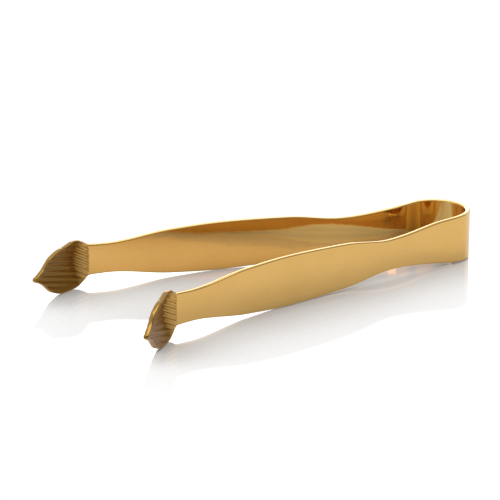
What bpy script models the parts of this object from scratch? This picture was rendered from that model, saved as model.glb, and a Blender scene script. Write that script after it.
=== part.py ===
"""Bow-spring ice tongs: one sprung strip, bent double, with a fluted shell claw on each arm.

Metres, +Z up, +X from the claws towards the bow, the near arm on the -Y side.
The strip is drawn as a mid-surface: its plan is a path of arcs and straights that
starts at the back of the bow, and its height above and below the path varies along it.
Both claws bend to the -Y side and are cupped the same way, so that they nest when shut.
Solidify gives every piece the thickness of the strip.
"""
import math

import bpy
import numpy as np

# Strip
STRIP_THICKNESS = 0.0019
FLEX_GAP = 0.0004
SEAT_GAP = 0.0003

# Plan of one half: bow arc, reverse shoulder arc, straight arm, measured along the mid-line
BOW_RADIUS = 0.0128
BOW_TURN = math.radians(95.4)
SHOULDER_RADIUS = 0.037
SHOULDER_TURN = math.radians(15.1)
ARM_STRAIGHT = 0.1193

# Half heights of the strip, and where each lies along the straight arm from its root
BOW_HALF_HEIGHT = 0.0090
BOW_FULL_HEIGHT_ARC = 0.012
WAIST_HALF_HEIGHT = 0.0058
WAIST_AT = 0.0195
RISE_HALF_HEIGHT = 0.0083
RISE_AT = 0.0413
BELLY_HALF_HEIGHT = 0.0092
BELLY_AT = 0.069
FALL_HALF_HEIGHT = 0.0084
FALL_AT = 0.088
NECK_HALF_HEIGHT = 0.0056
NECK_BEFORE_FOLD = 0.0065
FOLD_HALF_HEIGHT = 0.0058

# Claw: a leaf bent to the -Y side at the fold, half heights at distances past the fold
CLAW_TURN = math.radians(33.0)
FOLD_LEAD = 0.0007
FOLD_BEND = 0.0016
NAPE_HALF_HEIGHT = 0.0076
NAPE_AT = 0.0040
CHEEK_HALF_HEIGHT = 0.0085
CHEEK_AT = 0.0070
LOBE_HALF_HEIGHT = 0.0088
LOBE_START = 0.0105
LOBE_END = 0.0150
BROW_HALF_HEIGHT = 0.0071
BROW_AT = 0.0210
BEAK_HALF_HEIGHT = 0.0030
BEAK_AT = 0.0260
TIP_HALF_HEIGHT = 0.0004
CLAW_LENGTH = 0.0302

# Cup of the claw: deepest at the end of its heel, fading to the tip and to both edges
CUP_DEPTH = 0.0028
HEEL_LENGTH = 0.0050

# Pressed flutes along the claw
FLUTE_PITCH = 0.0021
FLUTE_DEPTH = 0.0005
FLUTE_START = 0.0007
FLUTE_RUN_IN = 0.0010
FLUTE_MARGIN = 0.0014

# Mesh fineness
SHARP_EDGE = math.radians(40.0)
PATH_POINTS = 6001
STEP_ALONG_BOW = 0.0016
STEP_ALONG_ARM = 0.005
ROWS_ACROSS_STRIP = 2
ROWS_ACROSS_CLAW = 28
STEPS_ALONG_CLAW = 10

GOLD_COLOUR = (0.80, 0.52, 0.19, 1.0)
GOLD_ROUGHNESS = 0.12

# Distances along the mid-line from the back of the bow
BOW_ARC = BOW_RADIUS * BOW_TURN
ARM_ROOT = BOW_ARC + SHOULDER_RADIUS * SHOULDER_TURN
FOLD = ARM_ROOT + ARM_STRAIGHT

SIDES = {"near": -1.0, "far": 1.0}


def clear_scene():
    """Remove every object that the scene already holds."""
    for item in list(bpy.data.objects):
        bpy.data.objects.remove(item, do_unlink=True)


def smooth_through(stations, at):
    """Monotone cubic through (place, value) stations: no bump that the stations don't have."""
    place, value = np.array(sorted(stations)).T
    step = np.diff(place)
    slope = np.diff(value) / step
    tangent = np.zeros(len(place))
    same_way = slope[:-1] * slope[1:] > 0
    weight_a = 2 * step[1:] + step[:-1]
    weight_b = step[1:] + 2 * step[:-1]
    safe = np.where(same_way, slope[:-1] * slope[1:], 1.0)
    blend = (weight_a + weight_b) * safe / (weight_a * slope[1:] + weight_b * slope[:-1] + 1e-30)
    tangent[1:-1] = np.where(same_way, blend, 0.0)
    tangent[0], tangent[-1] = slope[0], slope[-1]
    at = np.clip(at, place[0], place[-1])
    k = np.clip(np.searchsorted(place, at, side="right") - 1, 0, len(step) - 1)
    u = (at - place[k]) / step[k]
    return (
        value[k] * (1 + 2 * u) * (1 - u) ** 2
        + tangent[k] * step[k] * u * (1 - u) ** 2
        + value[k + 1] * u ** 2 * (3 - 2 * u)
        + tangent[k + 1] * step[k] * u ** 2 * (u - 1)
    )


def ease(u):
    """Smooth step from 0 to 1."""
    u = np.clip(u, 0.0, 1.0)
    return u * u * (3 - 2 * u)


def heading_along(s, side):
    """Plan heading in radians at distance s: 0 runs to the claws, positive runs outwards."""
    bow = math.pi / 2 - np.minimum(s, BOW_ARC) / BOW_RADIUS
    shoulder = np.clip(s - BOW_ARC, 0.0, ARM_ROOT - BOW_ARC) / SHOULDER_RADIUS
    claw = -side * CLAW_TURN * ease((s - FOLD - FOLD_LEAD) / FOLD_BEND)
    return bow + shoulder + claw


PATH_FINE = np.linspace(0.0, FOLD + CLAW_LENGTH, PATH_POINTS)


def running_sum(rate):
    """Trapezoid sum of a rate along the fine path."""
    mean = (rate[1:] + rate[:-1]) / 2 * np.diff(PATH_FINE)
    return np.concatenate([[0.0], np.cumsum(mean)])


def plan_point(s, side):
    """Plan place at distance s along one half of the strip."""
    heading = heading_along(PATH_FINE, side)
    forward = np.interp(s, PATH_FINE, running_sum(np.cos(heading)))
    outward = np.interp(s, PATH_FINE, running_sum(np.sin(heading)))
    return -forward, side * outward


def half_height(s):
    """Half height of the strip at distance s, from the bow to the tip of the claw."""
    stations = (
        (0.0, BOW_HALF_HEIGHT),
        (BOW_FULL_HEIGHT_ARC, BOW_HALF_HEIGHT),
        (ARM_ROOT + WAIST_AT, WAIST_HALF_HEIGHT),
        (ARM_ROOT + RISE_AT, RISE_HALF_HEIGHT),
        (ARM_ROOT + BELLY_AT, BELLY_HALF_HEIGHT),
        (ARM_ROOT + FALL_AT, FALL_HALF_HEIGHT),
        (FOLD - NECK_BEFORE_FOLD, NECK_HALF_HEIGHT),
        (FOLD, FOLD_HALF_HEIGHT),
        (FOLD + NAPE_AT, NAPE_HALF_HEIGHT),
        (FOLD + CHEEK_AT, CHEEK_HALF_HEIGHT),
        (FOLD + LOBE_START, LOBE_HALF_HEIGHT),
        (FOLD + LOBE_END, LOBE_HALF_HEIGHT),
        (FOLD + BROW_AT, BROW_HALF_HEIGHT),
        (FOLD + BEAK_AT, BEAK_HALF_HEIGHT),
        (FOLD + CLAW_LENGTH, TIP_HALF_HEIGHT),
    )
    return smooth_through(stations, s)


def cup_relief(past_fold, level):
    """Depth of the cup: an eased heel, a straight fade to the tip, a parabola across."""
    heel = ease((past_fold - FOLD_LEAD) / HEEL_LENGTH)
    fade = np.clip((CLAW_LENGTH - past_fold) / (CLAW_LENGTH - HEEL_LENGTH), 0.0, 1.0)
    return CUP_DEPTH * heel * fade * (1 - level ** 2)


def flute_relief(past_fold, z, edge):
    """Height of the pressed flutes: a cosine across the claw that dies out at every edge."""
    run_in = ease((past_fold - FLUTE_START) / FLUTE_RUN_IN)
    margin = ease(edge / FLUTE_MARGIN)
    return FLUTE_DEPTH / 2 * np.cos(2 * np.pi * z / FLUTE_PITCH) * run_in * margin


def strip_sheet(start, end, step, side):
    """Grid of mid-surface points of the plain strip between two distances on one half."""
    columns = max(2, math.ceil((end - start) / step))
    s = np.linspace(start, end, columns + 1)[:, None]
    level = np.linspace(-1.0, 1.0, ROWS_ACROSS_STRIP + 1)[None, :]
    x, y = plan_point(s, side)
    z = half_height(s) * level
    return np.stack(np.broadcast_arrays(x, y, z), axis=-1)


def bow_sheet(end):
    """Grid of mid-surface points of the whole bow, the near half reversed before the far half."""
    near = strip_sheet(0.0, end, STEP_ALONG_BOW, SIDES["near"])
    far = strip_sheet(0.0, end, STEP_ALONG_BOW, SIDES["far"])
    return np.concatenate([near[:0:-1], far])


def claw_sheet(side):
    """Grid of mid-surface points of one cupped and fluted claw."""
    along = np.linspace(FOLD_LEAD, CLAW_LENGTH, STEPS_ALONG_CLAW)
    past_fold = np.concatenate([[SEAT_GAP], along])[:, None]
    level = np.linspace(-1.0, 1.0, ROWS_ACROSS_CLAW + 1)[None, :]
    s = FOLD + past_fold
    height = half_height(s)
    z = height * level
    edge = np.minimum(height - np.abs(z), CLAW_LENGTH - past_fold)
    relief = cup_relief(past_fold, level) + flute_relief(past_fold, z, edge)
    heading = heading_along(s, side)
    x, y = plan_point(s, side)
    x = x + side * relief * np.sin(heading)
    y = y + relief * np.cos(heading)
    return np.stack(np.broadcast_arrays(x, y, z), axis=-1)


def gold_plate():
    """Polished gold plating."""
    material = bpy.data.materials.new("polished_gold")
    material.use_nodes = True
    shader = material.node_tree.nodes["Principled BSDF"]
    shader.inputs["Base Color"].default_value = GOLD_COLOUR
    shader.inputs["Roughness"].default_value = GOLD_ROUGHNESS
    shader.inputs["Metallic"].default_value = 1.0
    return material


def add_piece(name, grid, parent, material):
    """Make one strip piece from its mid-surface grid, hung on a parent empty."""
    columns, rows = grid.shape[:2]
    index = np.arange(columns * rows).reshape(columns, rows)
    corners = (index[:-1, :-1], index[1:, :-1], index[1:, 1:], index[:-1, 1:])
    faces = np.stack([corner.ravel() for corner in corners], axis=-1)
    points = grid.reshape(-1, 3) - np.array(parent.location if parent.parent else (0.0, 0.0, 0.0))
    mesh = bpy.data.meshes.new(name)
    mesh.from_pydata(points.tolist(), [], faces.tolist())
    mesh.materials.append(material)
    mesh.shade_smooth()
    mesh.set_sharp_from_angle(angle=SHARP_EDGE)
    piece = bpy.data.objects.new(name, mesh)
    bpy.context.collection.objects.link(piece)
    piece.parent = parent
    wall = piece.modifiers.new("strip_thickness", "SOLIDIFY")
    wall.thickness = STRIP_THICKNESS
    wall.offset = 0.0
    wall.use_even_offset = True
    return piece


def add_empty(name, parent=None, place=(0.0, 0.0, 0.0)):
    """Make an empty that carries other pieces."""
    empty = bpy.data.objects.new(name, None)
    empty.location = place
    bpy.context.collection.objects.link(empty)
    empty.parent = parent
    return empty


def stand_on_floor(rest_frame, pieces):
    """Stand the tongs on the lower edge of the strip, centred on the origin."""
    bpy.context.view_layer.update()
    depsgraph = bpy.context.evaluated_depsgraph_get()
    corners = []
    for piece in pieces:
        solid = piece.evaluated_get(depsgraph)
        corners.extend(solid.matrix_world @ vertex.co for vertex in solid.data.vertices)
    box = np.array(corners)
    low, high = box.min(axis=0), box.max(axis=0)
    rest_frame.location = (-(low[0] + high[0]) / 2, -(low[1] + high[1]) / 2, -low[2])


def build():
    """Build the bow, the two arms and the two claws."""
    clear_scene()
    gold = gold_plate()
    rest_frame = add_empty("rest_frame")
    pieces = [add_piece("bow_spring", bow_sheet(BOW_ARC - FLEX_GAP / 2), rest_frame, gold)]
    for label, side in SIDES.items():
        x, y = plan_point(BOW_ARC, side)
        flex = add_empty(label + "_flex_axis", rest_frame, (float(x), float(y), 0.0))
        arm = strip_sheet(BOW_ARC + FLEX_GAP / 2, FOLD, STEP_ALONG_ARM, side)
        pieces.append(add_piece(label + "_arm", arm, flex, gold))
        pieces.append(add_piece(label + "_claw", claw_sheet(side), flex, gold))
    stand_on_floor(rest_frame, pieces)


build()
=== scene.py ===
"""Looks of the bow-spring ice tongs: a mirror-gold sprung strip with a fluted claw on each arm."""
import math

import bpy
import numpy as np
from mathutils import Matrix, Vector


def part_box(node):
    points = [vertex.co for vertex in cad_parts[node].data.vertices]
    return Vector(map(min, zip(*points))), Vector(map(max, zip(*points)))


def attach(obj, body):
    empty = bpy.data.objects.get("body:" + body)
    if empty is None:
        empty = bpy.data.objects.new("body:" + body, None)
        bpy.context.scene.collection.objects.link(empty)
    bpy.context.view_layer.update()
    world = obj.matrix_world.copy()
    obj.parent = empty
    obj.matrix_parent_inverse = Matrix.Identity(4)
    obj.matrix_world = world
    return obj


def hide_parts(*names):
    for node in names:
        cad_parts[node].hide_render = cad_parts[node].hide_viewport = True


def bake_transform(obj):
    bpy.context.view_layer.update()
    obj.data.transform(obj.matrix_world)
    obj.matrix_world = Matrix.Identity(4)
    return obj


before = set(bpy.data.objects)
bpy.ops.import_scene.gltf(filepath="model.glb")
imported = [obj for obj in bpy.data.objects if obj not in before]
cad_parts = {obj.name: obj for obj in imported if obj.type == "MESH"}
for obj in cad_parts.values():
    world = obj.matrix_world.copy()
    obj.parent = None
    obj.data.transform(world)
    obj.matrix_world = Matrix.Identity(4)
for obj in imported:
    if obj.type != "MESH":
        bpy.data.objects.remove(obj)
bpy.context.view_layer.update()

# Strip, in metres
STRIP_THICKNESS = 0.0019
EDGE_ROUNDING = 0.00045

# Plan of one half, along the mid-line from the back of the bow
BOW_RADIUS = 0.0128
BOW_TURN = math.radians(95.4)
SHOULDER_RADIUS = 0.037
SHOULDER_TURN = math.radians(15.1)
ARM_STRAIGHT = 0.1193
BEND_SOFTENING = 0.006

BOW_ARC = BOW_RADIUS * BOW_TURN
ARM_ROOT = BOW_ARC + SHOULDER_RADIUS * SHOULDER_TURN
FOLD = ARM_ROOT + ARM_STRAIGHT

# Claw: a leaf bent to the -Y side at the fold
CLAW_TURN = math.radians(33.0)
FOLD_LEAD = 0.0003
FOLD_BEND = 0.0018
CLAW_LENGTH = 0.0302
TIP_ROUNDING = 0.0012
CUP_DEPTH = 0.0036
HEEL_LENGTH = 0.0050
DROOP = 0.0008
DROOP_FROM = 0.0060
DROOP_OVER = 0.0100
LOBE_HALF_HEIGHT = 0.0092

# Half height of the strip: (distance, height) stations
HALF_HEIGHTS = (
    (0.0, 0.0090),
    (0.012, 0.0090),
    (ARM_ROOT + 0.0195, 0.0058),
    (ARM_ROOT + 0.0413, 0.0083),
    (ARM_ROOT + 0.069, 0.0092),
    (ARM_ROOT + 0.088, 0.0084),
    (FOLD - 0.0065, 0.0056),
    (FOLD, 0.0058),
    (FOLD + 0.0040, 0.0076),
    (FOLD + 0.0070, 0.0088),
    (FOLD + 0.0105, LOBE_HALF_HEIGHT),
    (FOLD + 0.0150, LOBE_HALF_HEIGHT),
    (FOLD + 0.0210, 0.0074),
    (FOLD + 0.0260, 0.0030),
    (FOLD + CLAW_LENGTH, 0.0004),
)

# Pressed flutes along the claw, leaning as they climb the heel and run down the leaf
FLUTE_PITCH = 0.0021
HEEL_FLUTE_DEPTH = 0.0007
LEAF_FLUTE_DEPTH = 0.0002
FLUTE_START = 0.0004
FLUTE_RUN_IN = 0.0008
FLUTE_MARGIN = 0.0014
HEEL_LEAN = 0.60
LEAF_LEAN = 0.27

# Dull hollow of the claw: polished rim, the fade beside it and the rim's share of the painted shade
RIM_WIDTH = 0.0003
RIM_FADE = 0.0006
RIM_SHADE = 0.80

# Gold plate
PALE_GOLD = (0.76, 0.470, 0.155, 1.0)
DEEP_GOLD = (0.72, 0.440, 0.138, 1.0)
# Painted shade: dark brown painted into the claw's hollow and, in part, onto its rims, in place of
# their shading
PAINTED_HOLLOW_SHADE = (0.26, 0.135, 0.023, 1.0)
POLISH_ROUGHNESS = (0.03, 0.08)
SATIN_ROUGHNESS = 0.34
CLOUD_SCALE = 55.0
POLISHING_LINES = (60.0, 900.0, 4000.0)
PEEL_SCALE = 260.0
PEEL_STRENGTH = 0.05
PEEL_DEPTH = 0.0002

# Grid fineness
BOW_COLUMNS = 60
ARM_COLUMNS = 220
CLAW_COLUMNS = 130
TIP_CROWDING = 1.3
TIP_OPENING = 2e-6
EDGE_ROWS = 5
FACE_ROWS = 110
PATH_STEPS = 8001
SOFTENING_STEPS = 41
SLOPE_STEP = 2e-5

SIDES = {"near": -1.0, "far": 1.0}


def ease(u):
    """Smooth step 3u^2 - 2u^3, held at 0 and 1 outside."""
    u = np.clip(u, 0.0, 1.0)
    return u * u * (3 - 2 * u)


def smooth_through(stations, at):
    """Monotone cubic Hermite through stations, tangents by the weighted harmonic mean of slopes."""
    place, value = np.array(sorted(stations)).T
    step = np.diff(place)
    slope = np.diff(value) / step
    same_way = slope[:-1] * slope[1:] > 0
    weight_a = 2 * step[1:] + step[:-1]
    weight_b = step[1:] + 2 * step[:-1]
    product = np.where(same_way, slope[:-1] * slope[1:], 1.0)
    mean = (weight_a + weight_b) * product / (weight_a * slope[1:] + weight_b * slope[:-1] + 1e-30)
    tangent = np.concatenate([slope[:1], np.where(same_way, mean, 0.0), slope[-1:]])
    at = np.clip(at, place[0], place[-1])
    k = np.clip(np.searchsorted(place, at, side="right") - 1, 0, len(step) - 1)
    u = (at - place[k]) / step[k]
    return (
        value[k] * (1 + 2 * u) * (1 - u) ** 2
        + tangent[k] * step[k] * u * (1 - u) ** 2
        + value[k + 1] * u ** 2 * (3 - 2 * u)
        + tangent[k + 1] * step[k] * u ** 2 * (u - 1)
    )


def strip_heading(s, side):
    """Plan heading: a bow arc, a reverse shoulder arc and a straight, then one eased bend to -Y.

    The corners between the arcs are softened by averaging the heading over BEND_SOFTENING.
    """
    window = np.linspace(-0.5, 0.5, SOFTENING_STEPS) * BEND_SOFTENING
    near_s = np.abs(s)[..., None] + window
    bow = math.pi / 2 - np.minimum(near_s, BOW_ARC) / BOW_RADIUS
    shoulder = np.clip(near_s - BOW_ARC, 0.0, ARM_ROOT - BOW_ARC) / SHOULDER_RADIUS
    claw = -side * CLAW_TURN * ease((np.abs(s) - FOLD - FOLD_LEAD) / FOLD_BEND)
    return (bow + shoulder).mean(axis=-1) + claw


def strip_path(s, side):
    """Heading and plan place at s: trapezoid sums of the heading's cosine and sine."""
    fine = np.linspace(0.0, FOLD + CLAW_LENGTH, PATH_STEPS)
    heading = strip_heading(fine, side)
    rates = np.stack([np.cos(heading), np.sin(heading)])
    sums = np.cumsum((rates[:, 1:] + rates[:, :-1]) / 2 * np.diff(fine), axis=1)
    forward, outward = np.concatenate([np.zeros((2, 1)), sums], axis=1)
    return np.interp(s, fine, heading), np.interp(s, fine, forward), np.interp(s, fine, outward)


def half_height(s):
    """Half height at distance s, the last TIP_ROUNDING closing in a quarter ellipse."""
    round_from = FOLD + CLAW_LENGTH - TIP_ROUNDING
    u = np.clip((s - round_from) / TIP_ROUNDING, 0.0, 1.0)
    return smooth_through(HALF_HEIGHTS, np.minimum(s, round_from)) * np.sqrt(1.0 - u * u)


def strip_edges(s):
    """Middle and half height: the leaf's middle sinks by DROOP and its lower edge stays where it is."""
    half = half_height(s)
    droop = DROOP * ease((s - FOLD - DROOP_FROM) / DROOP_OVER)
    return -droop, half * (1 - droop / LOBE_HALF_HEIGHT)


def cup_relief(past_fold, level):
    """Depth of the cup: an eased heel, a straight fade to the tip, a parabola across."""
    heel = ease((past_fold - FOLD_LEAD) / HEEL_LENGTH)
    fade = np.clip((CLAW_LENGTH - past_fold) / (CLAW_LENGTH - HEEL_LENGTH), 0.0, 1.0)
    return CUP_DEPTH * heel * fade * (1 - level ** 2)


def flute_relief(past_fold, z, edge_distance):
    """Pressed flutes: a cosine of the leaning height, dying out at the fold and at every edge."""
    on_heel = np.clip(past_fold, 0.0, HEEL_LENGTH)
    on_leaf = np.clip(past_fold - HEEL_LENGTH, 0.0, CLAW_LENGTH)
    leaning = z - HEEL_LEAN * on_heel - LEAF_LEAN * on_leaf
    run_in = ease((past_fold - FLUTE_START) / FLUTE_RUN_IN)
    margin = ease(edge_distance / FLUTE_MARGIN)
    depth = HEEL_FLUTE_DEPTH + (LEAF_FLUTE_DEPTH - HEEL_FLUTE_DEPTH) * ease(on_leaf / HEEL_LENGTH)
    return depth / 2 * np.cos(2 * math.pi * leaning / FLUTE_PITCH) * run_in * margin


def row_places():
    """Rows across the strip: (share of the inner height, inset from the nearer edge)."""
    turn = np.linspace(0.0, math.pi / 2, EDGE_ROWS)
    inset = EDGE_ROUNDING * (1 - np.cos(turn))
    share = np.linspace(-1.0, 1.0, FACE_ROWS)
    below = np.stack([np.full(EDGE_ROWS - 1, -1.0), inset[:-1]], axis=-1)
    inner = np.stack([share, np.full(FACE_ROWS, EDGE_ROUNDING)], axis=-1)
    above = np.stack([np.full(EDGE_ROWS - 1, 1.0), inset[-2::-1]], axis=-1)
    return np.concatenate([below, inner, above])


def strip_faces(s, side):
    """Outer and inner face of the strip as grids over distance s and the rows across it.

    A point lies on the plan path at s, at height z between the edges, and half a thickness out
    along the plan normal. The half thickness falls by a quarter circle within EDGE_ROUNDING of
    an edge, and the cup and flutes move both faces together to the +Y side. The satin grid and
    the painted shade grid run from 0 on the plain strip to 1 inside the claw; on the claw's rims
    satin is 0 and the painted shade is RIM_SHADE. The painted shade darkens the claw's hollow
    and rims in place of their shading.
    """
    share, inset = row_places().T
    s = s[:, None]
    middle, half = strip_edges(s)
    rise = half_height(s + SLOPE_STEP) - half_height(s - SLOPE_STEP)
    lean = np.hypot(1.0, rise / (2 * SLOPE_STEP))
    z = middle + share * (half - np.minimum(inset * lean, half))
    edge_distance = (half - np.abs(z - middle)) / lean
    u = np.clip(edge_distance / EDGE_ROUNDING, 0.0, 1.0)
    flat_rim = STRIP_THICKNESS / 2 - EDGE_ROUNDING
    half_thickness = flat_rim + EDGE_ROUNDING * np.sqrt(1 - (1 - u) ** 2)
    past_fold = s - FOLD
    level = (z - middle) / np.maximum(half, 1e-9)
    relief = cup_relief(past_fold, level) + flute_relief(past_fold, z, edge_distance)
    heading, forward, outward = strip_path(s, side)
    faces = []
    for offset in (half_thickness, -half_thickness):
        shift = offset + side * relief
        x = -forward + shift * np.sin(heading)
        y = side * (outward + shift * np.cos(heading))
        faces.append(np.stack(np.broadcast_arrays(x, y, z), axis=-1))
    within = ease((edge_distance - RIM_WIDTH) / RIM_FADE)
    satin = within * ease(past_fold / FOLD_BEND)
    # Painted shade: the claw's hollow, and its rims by RIM_SHADE, take a darker colour in place of
    # their shading
    dark = (RIM_SHADE + (1 - RIM_SHADE) * within) * ease((past_fold - FOLD_BEND) / HEEL_LENGTH)
    return faces, {"satin": satin, "dark": dark}


def grid_normals(points, flip):
    """Unit cross product of the grid's two central differences."""
    along = np.gradient(points, axis=0)
    across = np.gradient(points, axis=1)
    normal = np.cross(along, across) * flip
    return normal / np.maximum(np.linalg.norm(normal, axis=-1, keepdims=True), 1e-12)


def add_strip_piece(name, faces_grid, normals_grid, satin_and_shade, side, material):
    """Close two face grids into one solid: outer face, inner face, two rims and two end caps."""
    outer, inner = faces_grid
    columns, rows = outer.shape[:2]
    outer_index = np.arange(columns * rows).reshape(columns, rows)
    inner_index = outer_index + columns * rows

    def quads(a, b):
        """Quads between two matching lines of vertices."""
        return np.stack([a[:-1], a[1:], b[1:], b[:-1]], axis=-1)

    def patch(grid):
        """Quads of a whole grid."""
        corners = (grid[:-1, :-1], grid[1:, :-1], grid[1:, 1:], grid[:-1, 1:])
        return np.stack([corner.ravel() for corner in corners], axis=-1)

    faces = np.concatenate([
        patch(outer_index),
        patch(inner_index)[:, ::-1],
        quads(outer_index[:, -1], inner_index[:, -1]),
        quads(outer_index[:, 0], inner_index[:, 0])[:, ::-1],
        quads(outer_index[0], inner_index[0]),
        quads(outer_index[-1], inner_index[-1])[:, ::-1],
    ])
    if side < 0:
        faces = faces[:, ::-1]
    points = np.concatenate([outer.reshape(-1, 3), inner.reshape(-1, 3)])
    mesh = bpy.data.meshes.new(name)
    mesh.from_pydata(points.tolist(), [], faces.tolist())
    mesh.materials.append(material)
    mesh.shade_smooth()
    normals = np.concatenate([normal.reshape(-1, 3) for normal in normals_grid])
    mesh.normals_split_custom_set_from_vertices(normals.tolist())
    for label, grid in satin_and_shade.items():
        share = mesh.attributes.new(label, "FLOAT", "POINT")
        share.data.foreach_set("value", np.tile(grid.ravel(), 2))
    piece = bpy.data.objects.new(name, mesh)
    bpy.context.scene.collection.objects.link(piece)
    return piece


def polished_gold():
    """Mirror gold plate: polishing lines, faint clouding, soft orange peel, satin hollows and painted
    shade in the claw's hollow and on its rims.
    """
    material = bpy.data.materials.new("polished_gold")
    material.use_nodes = True
    nodes, links = material.node_tree.nodes, material.node_tree.links
    gold = nodes["Principled BSDF"]
    gold.inputs["Metallic"].default_value = 1.0
    place = nodes.new("ShaderNodeTexCoord")

    cloud = nodes.new("ShaderNodeTexNoise")
    cloud.inputs["Scale"].default_value = CLOUD_SCALE
    cloud.inputs["Detail"].default_value = 3.0
    links.new(place.outputs["Object"], cloud.inputs["Vector"])
    tone = nodes.new("ShaderNodeValToRGB")
    tone.color_ramp.elements[0].position = 0.35
    tone.color_ramp.elements[0].color = DEEP_GOLD
    tone.color_ramp.elements[1].position = 0.70
    tone.color_ramp.elements[1].color = PALE_GOLD
    links.new(cloud.outputs["Fac"], tone.inputs["Fac"])
    # Painted shade: the base colour is mixed towards a dark brown inside the claw's hollow and on its
    # rims, in place of their shading
    dark = nodes.new("ShaderNodeAttribute")
    dark.attribute_name = "dark"
    satin = nodes.new("ShaderNodeAttribute")
    satin.attribute_name = "satin"
    hollow_shade_mix = nodes.new("ShaderNodeMix")
    hollow_shade_mix.data_type = "RGBA"
    links.new(dark.outputs["Fac"], hollow_shade_mix.inputs["Factor"])
    links.new(tone.outputs["Color"], hollow_shade_mix.inputs["A"])
    hollow_shade_mix.inputs["B"].default_value = PAINTED_HOLLOW_SHADE
    links.new(hollow_shade_mix.outputs["Result"], gold.inputs["Base Color"])

    stretch = nodes.new("ShaderNodeMapping")
    stretch.inputs["Scale"].default_value = POLISHING_LINES
    links.new(place.outputs["Object"], stretch.inputs["Vector"])
    polish = nodes.new("ShaderNodeTexNoise")
    polish.inputs["Scale"].default_value = 1.0
    polish.inputs["Detail"].default_value = 2.0
    links.new(stretch.outputs["Vector"], polish.inputs["Vector"])
    gloss = nodes.new("ShaderNodeMapRange")
    gloss.inputs["From Min"].default_value = 0.3
    gloss.inputs["From Max"].default_value = 0.7
    gloss.inputs["To Min"].default_value = POLISH_ROUGHNESS[0]
    gloss.inputs["To Max"].default_value = POLISH_ROUGHNESS[1]
    links.new(polish.outputs["Fac"], gloss.inputs["Value"])
    soften = nodes.new("ShaderNodeMix")
    links.new(satin.outputs["Fac"], soften.inputs["Factor"])
    links.new(gloss.outputs["Result"], soften.inputs["A"])
    soften.inputs["B"].default_value = SATIN_ROUGHNESS
    links.new(soften.outputs["Result"], gold.inputs["Roughness"])

    peel = nodes.new("ShaderNodeTexNoise")
    peel.inputs["Scale"].default_value = PEEL_SCALE
    peel.inputs["Detail"].default_value = 1.0
    links.new(place.outputs["Object"], peel.inputs["Vector"])
    waviness = nodes.new("ShaderNodeBump")
    waviness.inputs["Strength"].default_value = PEEL_STRENGTH
    waviness.inputs["Distance"].default_value = PEEL_DEPTH
    links.new(peel.outputs["Fac"], waviness.inputs["Height"])
    links.new(waviness.outputs["Normal"], gold.inputs["Normal"])
    return material


def tongs():
    """Build half bow, arm and claw of each side from one grid, so that they meet without a seam."""
    gold = polished_gold()
    bow_low, bow_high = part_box("bow_spring")
    middle = (bow_low + bow_high) / 2
    place = np.array([bow_high.x - STRIP_THICKNESS / 2, middle.y, middle.z])
    bow_s = np.linspace(0.0, BOW_ARC, BOW_COLUMNS + 1)
    arm_s = np.linspace(BOW_ARC, FOLD, ARM_COLUMNS + 1)
    sweep = np.linspace(0.0, 1.0, CLAW_COLUMNS + 1)
    claw_s = FOLD + (CLAW_LENGTH - TIP_OPENING) * (1 - (1 - sweep) ** TIP_CROWDING)
    s = np.concatenate([bow_s, arm_s[1:], claw_s[1:]])
    spans = {
        "half_bow": slice(0, BOW_COLUMNS + 1),
        "arm": slice(BOW_COLUMNS, BOW_COLUMNS + ARM_COLUMNS + 1),
        "claw": slice(BOW_COLUMNS + ARM_COLUMNS, None),
    }
    for label, side in SIDES.items():
        (outer, inner), satin_and_shade = strip_faces(s, side)
        outer_normal = grid_normals(outer, side)
        inner_normal = grid_normals(inner, -side)
        for part, span in spans.items():
            piece = add_strip_piece(
                label + "_gold_" + part, (outer[span] + place, inner[span] + place),
                (outer_normal[span], inner_normal[span]),
                {kind: grid[span] for kind, grid in satin_and_shade.items()}, side, gold,
            )
            body = label + "_side"
            if part == "half_bow":
                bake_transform(piece)
                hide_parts("bow_spring")
            else:
                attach(piece, body)
                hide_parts(label + "_" + part)


# Studio
FLOOR_SIZE = 6.0
FLOOR_DROP = 0.0001
FLOOR_WHITE = 1.0
FLOOR_BOUNCE = 0.8
SHADE_REACH = 0.06
SHADE_SAMPLES = 16
SHADE_OPENNESS = (0.35, 0.75)
SHADE_DEEPEST = 0.30
MIRROR_OPENNESS = (0.99, 0.82)
MIRROR_SHARE = 0.44
MIRROR_ROUGHNESS = 0.05
ROOM_TONES = ((0.0, 0.38), (0.45, 0.42), (0.62, 1.0), (1.0, 1.0))
SOFTBOXES = {
    "top_softbox": {"place": (0.0, 0.1, 0.8), "size": (0.7, 0.5), "power": 1.5},
    "back_softbox": {"place": (0.5, 0.87, 0.33), "size": (0.5, 0.25), "power": 0.9},
}
CAMERA_PLACE = Vector((-0.45081, -0.75452, 0.28369))
CAMERA_AIM = Vector((-0.00299, 0.01861, 0.01079))
FOCAL_PIXELS = 2541.0
IMAGE_PIXELS = 500.0
SENSOR_WIDTH = 36.0


def studio_camera():
    """Camera at the photograph's viewing angle."""
    camera = bpy.data.cameras.new("studio_camera")
    camera.sensor_width = SENSOR_WIDTH
    camera.lens = FOCAL_PIXELS / IMAGE_PIXELS * SENSOR_WIDTH
    camera.clip_start = 0.01
    camera.clip_end = 50.0
    holder = bpy.data.objects.new("studio_camera", camera)
    aim = (CAMERA_AIM - CAMERA_PLACE).to_track_quat("-Z", "Y")
    holder.matrix_world = Matrix.Translation(CAMERA_PLACE) @ aim.to_matrix().to_4x4()
    bpy.context.scene.collection.objects.link(holder)
    bpy.context.scene.camera = holder


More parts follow.
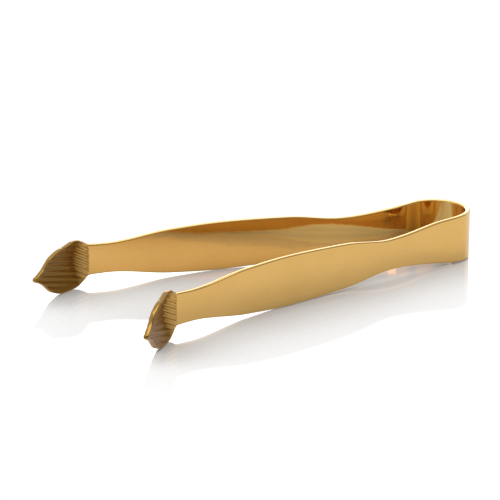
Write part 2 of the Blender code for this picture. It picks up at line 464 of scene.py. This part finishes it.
def studio_floor():
    """Glossy floor, white to the camera and to mirrored rays, with a contact shadow.

    The share of open sky over a point sets the shadow, and it also fades the mirror image out.
    """
    half = FLOOR_SIZE / 2
    corners = [(-half, -half, 0.0), (half, -half, 0.0), (half, half, 0.0), (-half, half, 0.0)]
    mesh = bpy.data.meshes.new("studio_floor")
    mesh.from_pydata(corners, [], [(0, 1, 2, 3)])
    floor = bpy.data.objects.new("studio_floor", mesh)
    floor.location.z = -FLOOR_DROP
    bpy.context.scene.collection.objects.link(floor)
    material = bpy.data.materials.new("white_gloss_floor")
    material.use_nodes = True
    nodes, links = material.node_tree.nodes, material.node_tree.links
    nodes.remove(nodes["Principled BSDF"])
    output = nodes["Material Output"]

    glow = nodes.new("ShaderNodeEmission")
    path = nodes.new("ShaderNodeLightPath")
    openness = nodes.new("ShaderNodeAmbientOcclusion")
    openness.inputs["Distance"].default_value = SHADE_REACH
    openness.samples = SHADE_SAMPLES
    seen = nodes.new("ShaderNodeMapRange")
    seen.inputs["From Min"].default_value = SHADE_OPENNESS[0]
    seen.inputs["From Max"].default_value = SHADE_OPENNESS[1]
    seen.inputs["To Min"].default_value = SHADE_DEEPEST
    seen.inputs["To Max"].default_value = FLOOR_WHITE
    links.new(openness.outputs["AO"], seen.inputs["Value"])

    shown = path.outputs["Is Camera Ray"]
    for kind in ("Is Glossy Ray", "Is Transmission Ray"):
        either = nodes.new("ShaderNodeMath")
        either.operation = "MAXIMUM"
        links.new(shown, either.inputs[0])
        links.new(path.outputs[kind], either.inputs[1])
        shown = either.outputs["Value"]
    strength = nodes.new("ShaderNodeMix")
    strength.inputs["A"].default_value = FLOOR_BOUNCE
    links.new(shown, strength.inputs["Factor"])
    links.new(seen.outputs["Result"], strength.inputs["B"])
    links.new(strength.outputs["Result"], glow.inputs["Strength"])

    gloss = nodes.new("ShaderNodeBsdfGlossy")
    gloss.inputs["Roughness"].default_value = MIRROR_ROUGHNESS
    fade = nodes.new("ShaderNodeMapRange")
    fade.inputs["From Min"].default_value = MIRROR_OPENNESS[0]
    fade.inputs["From Max"].default_value = MIRROR_OPENNESS[1]
    fade.inputs["To Max"].default_value = MIRROR_SHARE
    links.new(openness.outputs["AO"], fade.inputs["Value"])
    sheet = nodes.new("ShaderNodeMixShader")
    links.new(fade.outputs["Result"], sheet.inputs["Fac"])
    links.new(glow.outputs["Emission"], sheet.inputs[1])
    links.new(gloss.outputs["BSDF"], sheet.inputs[2])
    links.new(sheet.outputs["Shader"], output.inputs["Surface"])
    mesh.materials.append(material)


def softbox(name, place, size, power):
    """Rectangular lamp turned towards the origin."""
    lamp = bpy.data.lights.new(name, "AREA")
    lamp.shape = "RECTANGLE"
    lamp.size, lamp.size_y = size
    lamp.energy = power
    holder = bpy.data.objects.new(name, lamp)
    turn = (-Vector(place)).to_track_quat("-Z", "Y")
    holder.matrix_world = Matrix.Translation(place) @ turn.to_matrix().to_4x4()
    bpy.context.scene.collection.objects.link(holder)


def studio_light():
    """Room that is white behind the tongs and grey in front, with softboxes above and behind."""
    world = bpy.data.worlds.new("studio_world")
    bpy.context.scene.world = world
    world.use_nodes = True
    nodes, links = world.node_tree.nodes, world.node_tree.links
    room = nodes["Background"]
    place = nodes.new("ShaderNodeTexCoord")
    axes = nodes.new("ShaderNodeSeparateXYZ")
    links.new(place.outputs["Generated"], axes.inputs["Vector"])
    depth = nodes.new("ShaderNodeValToRGB")
    stops = depth.color_ramp.elements
    while len(stops) < len(ROOM_TONES):
        stops.new(0.5)
    for stop, (position, tone) in zip(stops, ROOM_TONES):
        stop.position = position
        stop.color = (tone, tone, tone, 1.0)
    shift = nodes.new("ShaderNodeMapRange")
    shift.inputs["From Min"].default_value = -1.0
    links.new(axes.outputs["Y"], shift.inputs["Value"])
    links.new(shift.outputs["Result"], depth.inputs["Fac"])
    links.new(depth.outputs["Color"], room.inputs["Color"])
    for name, box in SOFTBOXES.items():
        softbox(name, box["place"], box["size"], box["power"])
    bpy.context.scene.view_settings.view_transform = "Standard"


tongs()
studio_camera()
studio_floor()
studio_light()
